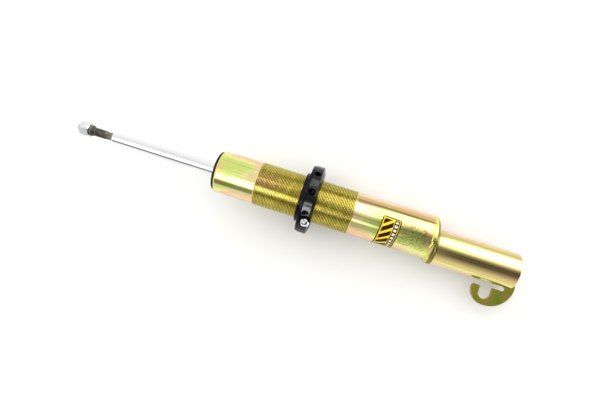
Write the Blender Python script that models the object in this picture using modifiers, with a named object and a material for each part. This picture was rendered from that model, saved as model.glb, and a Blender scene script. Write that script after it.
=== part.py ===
"""Coilover strut with a threaded twin-tube damper body, drawn lying on its side, in metres.

The strut's axis is X. The origin is the centre of the flat end face of the lower clamp tube, and +X
points out of that face, so the damper rod leaves the body towards -X. The clamp tube is eccentric: its
axis is the X axis, while the damper body and its rod run a little to the +Y side of it. The hose
bracket stands on the -Y side, in the XY plane.
"""

from math import acos, cos, degrees, pi, radians, sin

import bmesh
import bpy
from mathutils import Matrix, Vector

MM = 0.001
GAP = 0.3 * MM          # clearance between pieces that touch on the real strut
ROUND_STEPS = 64        # facets round the large pieces
SMALL_STEPS = 32        # facets round the small pieces

# Stations along X, measured from the lower end face
END_PLATE_X = -109.4 * MM       # lower face of the eccentric end plate
END_PLATE_THICK = 7.5 * MM
THREAD_LOW_X = -221.4 * MM
THREAD_HIGH_X = -355.9 * MM
ROLL_START_X = -408.6 * MM      # where the body starts to curl over its seal
ROLL_END_X = -411.2 * MM
CAP_FRONT_X = -414.6 * MM
ROD_SHOULDER_X = -571.0 * MM    # the top mount sits on this shoulder
ROD_THREAD_X = -582.5 * MM
NUT_LOW_X = -606.6 * MM
ROD_TIP_X = -624.0 * MM

# Damper body
BODY_AXIS_Y = 9.5 * MM          # eccentricity of the body over the clamp tube
THREAD_R = 30.0 * MM            # M60, at the crests
BODY_R = 29.3 * MM
BODY_BORE_R = 26.0 * MM
ROLL_LIP_R = 22.9 * MM
CAP_R = 26.6 * MM
ROLL_WALL = 1.6 * MM
END_PLATE_SECTIONS = (          # station from its upper face, body-side radius, tube-side radius
    (0.0, 29.2, 19.9), (1.4, 29.4, 21.6), (2.9, 29.2, 24.0), (4.4, 28.4, 24.7), (6.2, 26.6, 24.7),
    (7.5, 24.4, 24.2))

# Lower clamp tube
CLAMP_R = 24.0 * MM
CLAMP_WALL = 3.0 * MM
END_CAP_THICK = 4.0 * MM

# Rod
ROD_R = 9.0 * MM
ROD_NECK_R = 5.5 * MM
ROD_THREAD_R = 6.0 * MM         # M12
NUT_ACROSS_FLATS = 19.0 * MM
NUT_HIGH_X = -620.0 * MM
SPIGOT_R = 5.8 * MM
SPIGOT_X = -345.0 * MM          # upper end of the piston stack
SPIGOT_END_X = -309.0 * MM

# Height adjuster, from its upper end
LIP_X = -294.1 * MM
SEAT_X = -288.7 * MM
SEAT_BACK_X = -285.5 * MM
RING_X = -285.2 * MM
RING_CONE_X = -274.4 * MM
RING_BACK_X = -271.5 * MM
LIP_R = 33.9 * MM
SEAT_R = 45.9 * MM
RING_R = 46.7 * MM
RING_BACK_R = 39.0 * MM
RING_BORE_R = THREAD_R + GAP
SPANNER_HOLES = 10
SPANNER_HOLE_R = 4.5 * MM
SPANNER_HOLE_DEPTH = 9.0 * MM
SPANNER_FIRST_DEG = -47.5       # from +Z towards -Y
SLIT_DEG = 70.0
SLIT_WIDTH = 2.4 * MM
PINCH_R = 37.6 * MM             # distance of the pinch screw from the strut axis
PINCH_X = -278.4 * MM
PINCH_SHANK_R = 3.6 * MM
PINCH_HEAD_R = 6.2 * MM
PINCH_HEAD = 7.0 * MM
PINCH_SEAT = 6.5 * MM           # from the slit to the underside of the head
PINCH_END = 18.0 * MM
PINCH_POCKET_R = 7.2 * MM

# Hose bracket, in the XY plane
BRACKET_THICK = 3.0 * MM
HOOK_C = Vector((-26.5, -34.5)) * MM
HOOK_R = 19.4 * MM
PLATE_C = Vector((-24.5, -21.4)) * MM
PLATE_R = 32.5 * MM
NOTCH_C = Vector((-27.2, -38.3)) * MM
NOTCH_R = 7.7 * MM
TIP_TOP_Y = -30.1 * MM
SHELF_Y = -29.1 * MM
SLOT_C_X = -6.1 * MM
PLATE_TOP_Y = -8.0 * MM

# Label, wrapped round the body
LABEL_X = (-185.7 * MM, -160.5 * MM)
LABEL_DEG = (-19.0, 98.0)       # from +Z towards -Y
LABEL_THICK = 0.3 * MM

# Inside the body
CYLINDER_BORE_R = 18.0 * MM
CYLINDER_R = 19.8 * MM
CYLINDER_X = (-395.6 * MM, -122.3 * MM)
GUIDE_X = (-404.6 * MM, -396.0 * MM)
GUIDE_SPIGOT_X = -388.0 * MM
SEAL_X = -409.3 * MM

PARTS = "coilover"
CUTTERS = "coilover_cutters"


def clear_scene():
    for thing in list(bpy.data.objects):
        bpy.data.objects.remove(thing, do_unlink=True)
    for name in (PARTS, CUTTERS):
        if name in bpy.data.collections:
            bpy.data.collections.remove(bpy.data.collections[name])
        bpy.context.scene.collection.children.link(bpy.data.collections.new(name))


def material(name, colour, roughness, metallic=1.0):
    made = bpy.data.materials.get(name) or bpy.data.materials.new(name)
    made.use_nodes = True
    shader = made.node_tree.nodes["Principled BSDF"]
    shader.inputs["Base Color"].default_value = (*colour, 1.0)
    shader.inputs["Roughness"].default_value = roughness
    shader.inputs["Metallic"].default_value = metallic
    return made


def finishes():
    return {
        "gold": material("yellow_zinc", (0.62, 0.55, 0.20), 0.3),
        "chrome": material("hard_chrome", (0.78, 0.79, 0.80), 0.08),
        "black": material("black_anodised", (0.02, 0.02, 0.022), 0.3),
        "bright": material("bright_zinc", (0.80, 0.81, 0.82), 0.25),
        "steel": material("plain_steel", (0.45, 0.45, 0.46), 0.35),
        "sintered": material("sintered_iron", (0.24, 0.24, 0.25), 0.6),
        "rubber": material("black_rubber", (0.02, 0.02, 0.02), 0.7, 0.0),
        "bronze": material("guide_bronze", (0.45, 0.33, 0.16), 0.4),
        "band": material("piston_band", (0.05, 0.09, 0.07), 0.5, 0.0),
        "label": material("label_film", (0.75, 0.55, 0.04), 0.35, 0.0),
    }


def place(made, collection=PARTS):
    bpy.data.collections[collection].objects.link(made)
    return made


def finish(made, surface, smooth=True):
    made.data.materials.append(surface)
    if smooth:
        made.data.shade_smooth()
        made.data.set_sharp_from_angle(angle=radians(35))
    return made


def from_bmesh(name, bm, surface=None, collection=PARTS):
    mesh = bpy.data.meshes.new(name)
    bm.to_mesh(mesh)
    bm.free()
    made = place(bpy.data.objects.new(name, mesh), collection)
    return finish(made, surface) if surface else made


def turned(name, surface, profile, y=BODY_AXIS_Y, steps=ROUND_STEPS):
    """A ring or a solid of revolution: profile is (x, radius) pairs from the -X end, round the outside.

    A profile that starts and ends at radius 0 is a solid, and any other is closed into a ring.
    """
    bm = bmesh.new()
    points = [bm.verts.new((radius, 0.0, -x)) for x, radius in profile]
    for a, b in zip(points, points[1:]):
        bm.edges.new((a, b))
    if profile[0][1] > 0:
        bm.edges.new((points[-1], points[0]))
    mesh = bpy.data.meshes.new(name)
    bm.to_mesh(mesh)
    bm.free()
    made = place(bpy.data.objects.new(name, mesh))
    made.rotation_euler = (0.0, -pi / 2, 0.0)
    made.location = (0.0, y, 0.0)
    screw = made.modifiers.new("turn", "SCREW")
    screw.axis = "Z"
    screw.steps = steps
    screw.render_steps = steps
    screw.use_merge_vertices = True
    screw.merge_threshold = 0.00001
    screw.use_smooth_shade = False
    return finish(made, surface)


def ring(x0, x1, outer, inner):
    """The profile of a plain ring between two stations."""
    return [(x0, outer), (x1, outer), (x1, inner), (x0, inner)]


def disc(x0, x1, radius):
    return [(x0, 0.0), (x0, radius), (x1, radius), (x1, 0.0)]


def cylinder(name, radius, start, direction, length, steps=SMALL_STEPS, collection=CUTTERS):
    bm = bmesh.new()
    bmesh.ops.create_cone(bm, cap_ends=True, segments=steps, radius1=radius, radius2=radius, depth=length)
    turn = Vector(direction).to_track_quat("Z", "Y").to_matrix().to_4x4()
    middle = Vector(start) + Vector(direction).normalized() * length / 2
    bm.transform(Matrix.Translation(middle) @ turn)
    return from_bmesh(name, bm, collection=collection)


def cut(made, cutter, operation="DIFFERENCE"):
    change = made.modifiers.new(cutter.name, "BOOLEAN")
    change.operation = operation
    change.solver = "EXACT"
    change.object = cutter
    if cutter.name in bpy.data.collections[CUTTERS].objects:
        cutter.hide_render = True
        cutter.display_type = "WIRE"
    return made


def hexagon(name, surface, x0, x1, across_flats, bore, y=BODY_AXIS_Y):
    """A hexagonal nut with its bore left open."""
    bm = bmesh.new()
    corner = across_flats / 2 / cos(pi / 6)
    bmesh.ops.create_cone(bm, cap_ends=True, segments=6, radius1=corner, radius2=corner, depth=x1 - x0)
    bm.transform(Matrix.Translation(((x0 + x1) / 2, y, 0)) @ Matrix.Rotation(pi / 2, 4, "Y"))
    nut = from_bmesh(name, bm, surface)
    over = 1 * MM
    cut(nut, cylinder(f"{name}_bore", bore, (x0 - over, y, 0), (1, 0, 0), x1 - x0 + 2 * over))
    return nut


def arc(centre, radius, start_deg, end_deg, steps):
    """Points on a circle in the XY plane, with both ends."""
    turns = [radians(start_deg + (end_deg - start_deg) * i / steps) for i in range(steps + 1)]
    return [Vector((centre[0] + radius * cos(t), centre[1] + radius * sin(t))) for t in turns]


def plate(name, surface, outline, low, high, axis="Z"):
    """A flat outline made solid between two heights along Z, or along X with its outline in YZ."""
    curve = bpy.data.curves.new(name, "CURVE")
    curve.dimensions = "2D"
    curve.fill_mode = "BOTH"
    curve.extrude = (high - low) / 2
    spline = curve.splines.new("POLY")
    spline.points.add(len(outline) - 1)
    for point, (x, y) in zip(spline.points, outline):
        point.co = (x, y, 0.0, 1.0)
    spline.use_cyclic_u = True
    drawn = bpy.data.objects.new(name, curve)
    bpy.context.scene.collection.objects.link(drawn)
    seen = drawn.evaluated_get(bpy.context.evaluated_depsgraph_get())
    bm = bmesh.new()
    flat = bpy.data.meshes.new_from_object(seen)
    bm.from_mesh(flat)
    bpy.data.objects.remove(drawn)
    bmesh.ops.remove_doubles(bm, verts=bm.verts, dist=0.000001)
    bm.transform(Matrix.Translation((0, 0, (low + high) / 2)))
    if axis == "X":
        bm.transform(Matrix(((0, 0, 1, 0), (1, 0, 0, 0), (0, 1, 0, 0), (0, 0, 0, 1))))
    if bm.calc_volume(signed=True) < 0:
        bmesh.ops.reverse_faces(bm, faces=bm.faces)
    return from_bmesh(name, bm, surface)


def round_from(deg, radius, x, y=BODY_AXIS_Y):
    """A point at an angle from +Z towards -Y round the strut axis."""
    turn = radians(deg)
    return Vector((x, y - radius * sin(turn), radius * cos(turn)))


def damper_body(look):
    inner_x = ROLL_END_X + ROLL_WALL
    turned("threaded_body", look["gold"], [
        (ROLL_END_X, ROLL_LIP_R), (ROLL_END_X, 27.3 * MM), (ROLL_END_X + 0.9 * MM, 28.8 * MM),
        (ROLL_START_X, BODY_R), (THREAD_HIGH_X, BODY_R), (THREAD_HIGH_X + 0.7 * MM, THREAD_R),
        (THREAD_LOW_X - 0.7 * MM, THREAD_R), (THREAD_LOW_X, BODY_R),
        (END_PLATE_X - END_PLATE_THICK - GAP, BODY_R), (END_PLATE_X - END_PLATE_THICK - GAP, BODY_BORE_R),
        (inner_x, BODY_BORE_R), (inner_x, ROLL_LIP_R),
    ])


def end_plate(look):
    """A loft from the body's circle to the clamp tube's, each section the hull of one circle on each axis."""
    bm = bmesh.new()
    rows = []
    for station, top_r, low_r in END_PLATE_SECTIONS:
        tangent = degrees(acos((low_r - top_r) * MM / BODY_AXIS_Y))
        outline = arc((BODY_AXIS_Y, 0), top_r * MM, -tangent, tangent, 40)
        outline += arc((0, 0), low_r * MM, tangent, 360 - tangent, 12)[1:-1]
        x = END_PLATE_X - END_PLATE_THICK + station * MM
        rows.append([bm.verts.new((x, y, z)) for y, z in outline])
    for above, below in zip(rows, rows[1:]):
        for i, vert in enumerate(above):
            bm.faces.new((above[i - 1], vert, below[i], below[i - 1]))
    bm.faces.new(rows[0][::-1])
    bm.faces.new(rows[-1])
    if bm.calc_volume(signed=True) < 0:
        bmesh.ops.reverse_faces(bm, faces=bm.faces)
    from_bmesh("end_plate", bm, look["gold"])


def clamp_tube(look):
    start = END_PLATE_X + GAP
    bore = CLAMP_R - CLAMP_WALL
    turned("lower_clamp_tube", look["gold"], [
        (start, CLAMP_R), (-1 * MM, CLAMP_R), (0.0, CLAMP_R - 1 * MM), (0.0, bore), (start, bore),
    ], y=0.0)
    turned("lower_end_cap", look["gold"], disc(-END_CAP_THICK, 0.0, bore - GAP), y=0.0)


def hose_bracket(look):
    """A flat hook: a round-bottomed notch for the hose grommet, and an ear welded over the tube's end."""
    ear_x = PLATE_C.x + PLATE_R
    under = -CLAMP_R - GAP
    slot_r = (under - SHELF_Y) / 2
    outline = arc(HOOK_C, HOOK_R, 180, 270, 10)
    outline += arc(PLATE_C, PLATE_R, -92, 0, 18)
    outline += [Vector((ear_x - 1.5 * MM, PLATE_TOP_Y - 3 * MM)), Vector((ear_x - 4 * MM, PLATE_TOP_Y))]
    outline += [Vector((GAP, PLATE_TOP_Y)), Vector((GAP, under)), Vector((SLOT_C_X, under))]
    outline += arc((SLOT_C_X, under - slot_r), slot_r, 60, -90, 5)
    outline += [Vector((NOTCH_C.x + NOTCH_R, SHELF_Y))]
    outline += arc(NOTCH_C, NOTCH_R, 0, -180, 12)
    outline += arc((-36.4 * MM, TIP_TOP_Y - 1.5 * MM), 1.5 * MM, 0, 90, 3)
    outline += arc((-41.6 * MM, TIP_TOP_Y - 4.3 * MM), 4.3 * MM, 90, 180, 5)
    plate("hose_bracket", look["gold"], outline, -BRACKET_THICK / 2, BRACKET_THICK / 2)


def label(look):
    """A thin film on the body, a little proud of it."""
    inner, outer = BODY_R + GAP, BODY_R + GAP + LABEL_THICK
    steps = 24
    outline = []
    for radius, ends in ((outer, LABEL_DEG), (inner, LABEL_DEG[::-1])):
        outline += arc((BODY_AXIS_Y, 0), radius, 90 + ends[0], 90 + ends[1], steps)
    plate("label", look["label"], outline, LABEL_X[0], LABEL_X[1], "X")


def spring_seat(look):
    turned("spring_seat", look["black"], [
        (LIP_X, LIP_R - 1 * MM), (LIP_X + 1 * MM, LIP_R), (SEAT_X, LIP_R), (SEAT_X, SEAT_R),
        (SEAT_BACK_X, SEAT_R), (SEAT_BACK_X, RING_BORE_R), (LIP_X, RING_BORE_R),
    ])


def adjuster_ring(look):
    """A split ring with spanner holes, closed on the thread by one pinch screw across its slit."""
    made = turned("adjuster_ring", look["black"], [
        (RING_X, RING_R - 0.8 * MM), (RING_X + 0.8 * MM, RING_R), (RING_CONE_X, RING_R),
        (RING_CONE_X + 2.7 * MM, RING_BACK_R), (RING_BACK_X, RING_BACK_R - 1.2 * MM),
        (RING_BACK_X, RING_BORE_R), (RING_X, RING_BORE_R),
    ])
    over = 3 * MM
    centre_x = (RING_X + RING_CONE_X) / 2
    for i in range(SPANNER_HOLES):
        deg = SPANNER_FIRST_DEG + 360 / SPANNER_HOLES * i
        if abs(deg - SLIT_DEG) < 40:
            continue
        start = round_from(deg, RING_R + over, centre_x)
        inward = round_from(deg, RING_R - SPANNER_HOLE_DEPTH, centre_x) - start
        cut(made, cylinder(f"spanner_hole_{i}", SPANNER_HOLE_R, start, inward, inward.length, 12))

    slit = bmesh.new()
    bmesh.ops.create_cube(slit, size=1.0)
    depth = RING_R - BODY_BORE_R + 2 * over
    bmesh.ops.scale(slit, verts=slit.verts, vec=(RING_BACK_X - RING_X + 2 * over, SLIT_WIDTH, depth))
    slit.transform(Matrix.Translation(round_from(SLIT_DEG, BODY_BORE_R + depth / 2, centre_x))
                   @ Matrix.Rotation(radians(SLIT_DEG), 4, "X"))
    cut(made, from_bmesh("slit", slit, collection=CUTTERS))

    middle = round_from(SLIT_DEG, PINCH_R, PINCH_X)
    turn = radians(SLIT_DEG)
    along = Vector((0, cos(turn), sin(turn)))
    far = 40 * MM
    seat = middle + along * PINCH_SEAT
    cut(made, cylinder("pinch_pocket", PINCH_POCKET_R, seat, along, far))
    cut(made, cylinder("pinch_bore", PINCH_SHANK_R + GAP, middle - along * far / 2, along, far))
    screw(look, middle, along)


def screw(look, middle, along):
    """The pinch screw: a socket head cap screw lying across the slit."""
    head = cylinder("clamp_screw", PINCH_HEAD_R, middle + along * (PINCH_SEAT + GAP), along, PINCH_HEAD,
                    24, PARTS)
    finish(head, look["bright"])
    length = PINCH_SEAT + PINCH_END
    shank = cylinder("pinch_shank", PINCH_SHANK_R, middle - along * PINCH_END, along, length + 1 * MM, 20)
    cut(head, shank, "UNION")
    top = middle + along * (PINCH_SEAT + GAP + PINCH_HEAD)
    cut(head, cylinder("pinch_socket", 3.4 * MM, top + along * MM, -along, 4.5 * MM, 6))


def rod_group(look):
    tip_round = 1.5 * MM
    turned("piston_rod", look["chrome"], [
        (ROD_TIP_X, 0.0), (ROD_TIP_X, ROD_THREAD_R - tip_round),
        (ROD_TIP_X + tip_round, ROD_THREAD_R),
        (ROD_THREAD_X, ROD_THREAD_R), (ROD_THREAD_X, ROD_NECK_R), (ROD_SHOULDER_X, ROD_NECK_R),
        (ROD_SHOULDER_X, ROD_R - 0.8 * MM), (ROD_SHOULDER_X + 0.8 * MM, ROD_R), (SPIGOT_X, ROD_R),
        (SPIGOT_X, SPIGOT_R), (SPIGOT_END_X, SPIGOT_R), (SPIGOT_END_X, 0.0),
    ], steps=SMALL_STEPS)
    bore = SPIGOT_R + GAP
    hexagon("top_nut", look["bright"], NUT_HIGH_X, NUT_LOW_X, NUT_ACROSS_FLATS, ROD_THREAD_R + GAP)
    turned("top_washer", look["steel"], ring(NUT_LOW_X + GAP, NUT_LOW_X + GAP + 3.0 * MM, 7.6 * MM,
                                             ROD_THREAD_R + GAP), steps=SMALL_STEPS)
    turned("rebound_bumper", look["rubber"], ring(-387.4 * MM, -377.6 * MM, 14.5 * MM, ROD_R + GAP),
           steps=SMALL_STEPS)
    turned("rebound_stop", look["steel"], ring(-377.2 * MM, -373.4 * MM, 13.8 * MM, ROD_R + GAP),
           steps=SMALL_STEPS)
    turned("compression_shims", look["steel"], [
        (-344.7 * MM, 11 * MM), (-343.4 * MM, 11 * MM), (-343.4 * MM, 14.5 * MM), (-342.3 * MM, 14.5 * MM),
        (-342.3 * MM, bore), (-344.7 * MM, bore),
    ], steps=SMALL_STEPS)
    turned("piston", look["sintered"], [
        (-342.0 * MM, 17.2 * MM), (-338.0 * MM, 17.2 * MM), (-338.0 * MM, 15.6 * MM),
        (-327.0 * MM, 15.6 * MM), (-327.0 * MM, 17.2 * MM), (-323.6 * MM, 17.2 * MM),
        (-323.6 * MM, bore), (-342.0 * MM, bore),
    ], steps=SMALL_STEPS)
    turned("rebound_shims", look["steel"], [
        (-323.3 * MM, 14.5 * MM), (-322.2 * MM, 14.5 * MM), (-322.2 * MM, 11 * MM), (-320.9 * MM, 11 * MM),
        (-320.9 * MM, bore), (-323.3 * MM, bore),
    ], steps=SMALL_STEPS)
    hexagon("piston_nut", look["steel"], -320.6 * MM, -312.0 * MM, 17 * MM, bore)
    turned("piston_band", look["band"], ring(-337.5 * MM, -327.5 * MM, 17.7 * MM, 16.1 * MM),
           steps=SMALL_STEPS)


def guide_group(look):
    turned("dust_cap", look["black"], [
        (CAP_FRONT_X, CAP_R - 0.8 * MM), (CAP_FRONT_X + 0.5 * MM, CAP_R),
        (ROLL_END_X - GAP, CAP_R), (ROLL_END_X - GAP, ROLL_LIP_R - GAP),
        (SEAL_X - GAP, ROLL_LIP_R - GAP), (SEAL_X - GAP, ROD_R + 1.2 * MM),
        (CAP_FRONT_X, ROD_R + 1.2 * MM),
    ])
    turned("oil_seal", look["rubber"], ring(SEAL_X, GUIDE_X[0] - GAP, BODY_BORE_R - GAP, ROD_R + GAP),
           steps=SMALL_STEPS)
    bush_r = ROD_R + 2.0 * MM
    turned("rod_guide", look["sintered"], [
        (GUIDE_X[0], BODY_BORE_R - GAP), (GUIDE_X[0] + 4 * MM, BODY_BORE_R - GAP),
        (GUIDE_X[0] + 4 * MM, 24.0 * MM), (GUIDE_X[0] + 7 * MM, 24.0 * MM),
        (GUIDE_X[0] + 7 * MM, BODY_BORE_R - GAP), (GUIDE_X[1], BODY_BORE_R - GAP),
        (GUIDE_X[1], CYLINDER_BORE_R - GAP), (GUIDE_SPIGOT_X, CYLINDER_BORE_R - GAP),
        (GUIDE_SPIGOT_X, bush_r + GAP), (GUIDE_X[0], bush_r + GAP),
    ], steps=SMALL_STEPS)
    turned("guide_bush", look["bronze"], ring(GUIDE_X[0] + 1 * MM, GUIDE_SPIGOT_X - 1 * MM, bush_r,
                                              ROD_R + GAP), steps=SMALL_STEPS)
    turned("guide_o_ring", look["rubber"], ring(GUIDE_X[0] + 4.3 * MM, GUIDE_X[0] + 6.7 * MM,
                                                25.6 * MM, 24.3 * MM), steps=SMALL_STEPS)


def base_valve(look):
    turned("cylinder_tube", look["steel"], ring(*CYLINDER_X, CYLINDER_R, CYLINDER_BORE_R),
           steps=SMALL_STEPS)
    end = END_PLATE_X - END_PLATE_THICK - GAP
    spigot = CYLINDER_BORE_R - GAP
    hole, recess, recess_x = 3.3 * MM, 8.5 * MM, end - 3 * MM
    turned("base_valve_body", look["sintered"], [
        (-132.0 * MM, spigot), (CYLINDER_X[1] + GAP, spigot), (CYLINDER_X[1] + GAP, CYLINDER_R),
        (end, CYLINDER_R), (end, recess), (recess_x, recess), (recess_x, hole), (-132.0 * MM, hole),
    ], steps=SMALL_STEPS)
    turned("base_valve_disc", look["steel"], ring(-133.2 * MM, -132.3 * MM, 13 * MM, hole),
           steps=SMALL_STEPS)
    turned("base_valve_spring", look["steel"], [
        (-135.6 * MM, 4.6 * MM), (-133.9 * MM, 10 * MM), (-133.5 * MM, 10 * MM), (-135.0 * MM, 3.9 * MM),
        (-135.6 * MM, 3.9 * MM),
    ], steps=SMALL_STEPS)
    hexagon("base_valve_nut", look["steel"], -140.0 * MM, -135.9 * MM, 10 * MM, hole)
    turned("base_valve_bolt", look["steel"], [
        (-142.0 * MM, 0.0), (-142.0 * MM, 3.0 * MM), (recess_x + GAP, 3.0 * MM),
        (recess_x + GAP, 6.5 * MM), (end - GAP, 6.5 * MM), (end - GAP, 0.0),
    ], steps=SMALL_STEPS)


def main():
    clear_scene()
    look = finishes()
    damper_body(look)
    end_plate(look)
    clamp_tube(look)
    hose_bracket(look)
    label(look)
    guide_group(look)
    base_valve(look)
    rod_group(look)
    spring_seat(look)
    adjuster_ring(look)


main()
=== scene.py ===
# %% [markdown]
# A front strut for an adjustable car suspension, lying on a pale table. A thread is cut round the middle
# of its body, and a split black ring on that thread sets the height of the spring seat above it. This
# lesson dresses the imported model: every visible piece gets a fine surface and a worn, plated finish.

import bpy
import numpy as np
from mathutils import Matrix, Vector


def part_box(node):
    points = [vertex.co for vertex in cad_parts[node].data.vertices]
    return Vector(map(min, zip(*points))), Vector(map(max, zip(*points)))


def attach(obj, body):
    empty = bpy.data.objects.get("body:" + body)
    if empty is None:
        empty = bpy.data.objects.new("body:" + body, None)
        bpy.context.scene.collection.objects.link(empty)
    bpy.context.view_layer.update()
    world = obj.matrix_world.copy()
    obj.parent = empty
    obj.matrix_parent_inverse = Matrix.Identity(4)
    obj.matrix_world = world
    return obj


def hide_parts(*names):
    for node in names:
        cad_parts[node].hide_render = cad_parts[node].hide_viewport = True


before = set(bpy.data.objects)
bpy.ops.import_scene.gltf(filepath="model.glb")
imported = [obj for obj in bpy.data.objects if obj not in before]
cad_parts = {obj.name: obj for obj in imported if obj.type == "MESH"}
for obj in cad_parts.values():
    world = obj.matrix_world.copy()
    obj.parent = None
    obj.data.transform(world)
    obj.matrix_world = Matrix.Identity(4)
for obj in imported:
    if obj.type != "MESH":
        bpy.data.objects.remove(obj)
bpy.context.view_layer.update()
MM = 0.001

# %% [markdown]
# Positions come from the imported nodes. A turned node's box gives its axis and its outer radius, because
# the box of a round piece touches it on all four sides. Only the shapes inside a box, such as where the
# thread runs out, are named here, with the same values as the design.

# %% Measures of the strut


def span(node):
    """A node's two stations along X, its axis height in Y, and its outer radius."""
    low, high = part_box(node)
    return low.x, high.x, (low.y + high.y) / 2, (high.z - low.z) / 2


BODY_HIGH, BODY_LOW, AXIS_Y, CREST_R = span("threaded_body")
PLATE_HIGH, PLATE_LOW, _, _ = span("end_plate")
TUBE_HIGH, TUBE_LOW, TUBE_Y, TUBE_R = span("lower_clamp_tube")
CAP_HIGH, CAP_LOW, _, CAP_R = span("dust_cap")
SEAT_HIGH, SEAT_LOW, _, SEAT_R = span("spring_seat")
RING_HIGH, RING_LOW, _, RING_R = span("adjuster_ring")
ROD_TIP, ROD_END, _, ROD_R = span("piston_rod")
NUT_HIGH, NUT_LOW, _, _ = span("top_nut")
WASHER_HIGH, WASHER_LOW, _, WASHER_R = span("top_washer")
BRACKET_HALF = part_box("hose_bracket")[1].z

GAP = 0.3 * MM  # clearance between pieces that slide or turn on each other
BODY_R, BODY_BORE_R, TUBE_BORE_R = 29.3 * MM, 26.0 * MM, 21.0 * MM
THREAD_HIGH, THREAD_LOW = -355.9 * MM, -221.4 * MM
THREAD_PITCH = 2.0 * MM
ROOT_R = CREST_R - 1.0 * MM
ROLL_START, ROLL_LIP_R = BODY_HIGH + 2.6 * MM, 22.9 * MM
ROD_SHOULDER, ROD_THREAD_LOW = -571.0 * MM, -582.5 * MM
ROD_THREAD_R, ROD_NECK_R, ROD_THREAD_PITCH = 6.0 * MM, 5.5 * MM, 1.5 * MM
SPIGOT_X, SPIGOT_R = -345.0 * MM, 5.8 * MM  # the rod's lower end, which carries the piston
NUT_FLATS = 19.0 * MM
RING_BORE_R = CREST_R + GAP
STUD_BORE_R = ROD_THREAD_R + GAP
print("body axis at Y", round(AXIS_Y, 4), "crest radius", round(CREST_R, 4))

# %% [markdown]
# Every new surface is a grid: rows follow a profile, columns go round it. One function turns such an
# array of points into a mesh. Rows that meet their own start are wrapped, a row that shrinks to the axis
# is closed with a fan, and the signed volume says whether the faces point outwards.

# %% Grids into meshes


def quads(rows, cols, wrap_rows, wrap_cols):
    """Corner numbers of every cell of a grid whose last row or column may join its first."""
    i = np.arange(rows if wrap_rows else rows - 1)[:, None]
    j = np.arange(cols if wrap_cols else cols - 1)[None, :]
    down, right = (i + 1) % rows, (j + 1) % cols
    cells = np.stack(np.broadcast_arrays(i * cols + j, down * cols + j, down * cols + right,
                                         i * cols + right), -1)
    return cells.reshape(-1, 4)


def volume(points, faces):
    """Signed volume: a sixth of a . (b x c), summed over the fan triangles of every face."""
    total = 0.0
    for face in faces:
        for k in range(1, face.shape[1] - 1):
            a, b, c = points[face[:, 0]], points[face[:, k]], points[face[:, k + 1]]
            total += np.einsum("ij,ij->", a, np.cross(b, c)) / 6
    return total


def mesh_object(name, points, faces, sharp=None):
    """A mesh object in the scene; with sharp, it is smooth except at edges of more than sharp degrees."""
    mesh = bpy.data.meshes.new(name)
    mesh.from_pydata(points.reshape(-1, 3).tolist(), [], faces)
    if sharp is not None:
        mesh.shade_smooth()
        mesh.set_sharp_from_angle(angle=np.radians(sharp))
    made = bpy.data.objects.new(name, mesh)
    bpy.context.scene.collection.objects.link(made)
    print(name, len(faces), "faces")
    return made


def skin(name, grid, wrap_rows=False, sharp=35, materials=None):
    """A closed mesh object from a (rows, columns, 3) array of points, with its end rows capped by fans.

    materials is a number for each row, where one mesh carries two finishes.
    """
    rows, cols = grid.shape[:2]
    points = grid.reshape(-1, 3)
    cells = quads(rows, cols, wrap_rows, True)
    fans = np.empty((0, 3), int)
    if not wrap_rows:
        here = np.arange(cols)
        after = (here + 1) % cols
        start, end = len(points), len(points) + 1
        points = np.vstack([points, grid[0].mean(0), grid[-1].mean(0)])
        base = (rows - 1) * cols
        fans = np.vstack([np.stack([np.full(cols, start), here, after], 1),
                          np.stack([np.full(cols, end), base + after, base + here], 1)])
    if volume(points, [cells, fans]) < 0:
        cells, fans = cells[:, ::-1], fans[:, ::-1]
    made = mesh_object(name, points, cells.tolist() + fans.tolist(), sharp)
    if materials is not None:
        number = np.repeat(np.asarray(materials)[:len(cells) // cols], cols)
        ends = np.repeat([materials[0], materials[-1]], len(fans) // 2)
        number = np.concatenate([number, ends]).astype(np.int32)
        made.data.polygons.foreach_set("material_index", number)
    return made


def ring_points(x, radius, cols, y=None):
    """Rows of circles on the strut: (x, y + radius cos turn, radius sin turn).

    x and radius are one number a row, or one a point.
    """
    turn = np.arange(cols) / cols * 2 * np.pi
    x, radius = [np.reshape(given, (len(given), -1)) + 0 * turn for given in (x, radius)]
    return np.stack([x, (AXIS_Y if y is None else y) + radius * np.cos(turn), radius * np.sin(turn)], -1)


def around(turn, radius, x, y=AXIS_Y):
    """Points at turn degrees from +Z towards -Y: (x, y - radius sin turn, radius cos turn)."""
    angle = np.radians(turn)
    return np.stack(np.broadcast_arrays(x, y - radius * np.sin(angle), radius * np.cos(angle)), -1)


def softened(profile, radius, closed=True):
    """Each corner of a profile replaced by a curve that leaves its edges at radius from it.

    The curve is (1 - t)^2 start + 2t (1 - t) corner + t^2 end.
    """
    profile = np.asarray(profile, float)
    before, after = np.roll(profile, 1, 0), np.roll(profile, -1, 0)
    out = []
    for k, (a, p, b) in enumerate(zip(before, profile, after)):
        if not closed and k in (0, len(profile) - 1):
            out.append(p[None])
            continue
        reach_a, reach_b = np.linalg.norm(a - p), np.linalg.norm(b - p)
        start = p + (a - p) * min(radius / reach_a, 0.45)
        end = p + (b - p) * min(radius / reach_b, 0.45)
        t = np.linspace(0, 1, 4)[:, None]
        out.append((1 - t) ** 2 * start + 2 * t * (1 - t) * p + t ** 2 * end)
    return np.vstack(out)


def held(profile, closed=True, reach=0.4 * MM):
    """The profile with a row added near each end of its long runs, which keeps their shading flat."""
    out = []
    after = np.roll(profile, -1, 0) if closed else np.vstack([profile[1:], profile[-1:]])
    for a, b in zip(profile, after):
        out.append(a)
        length = np.linalg.norm(b - a)
        if length > 4 * reach:
            out += [a + (b - a) * reach / length, b - (b - a) * reach / length]
    return np.array(out)


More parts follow.
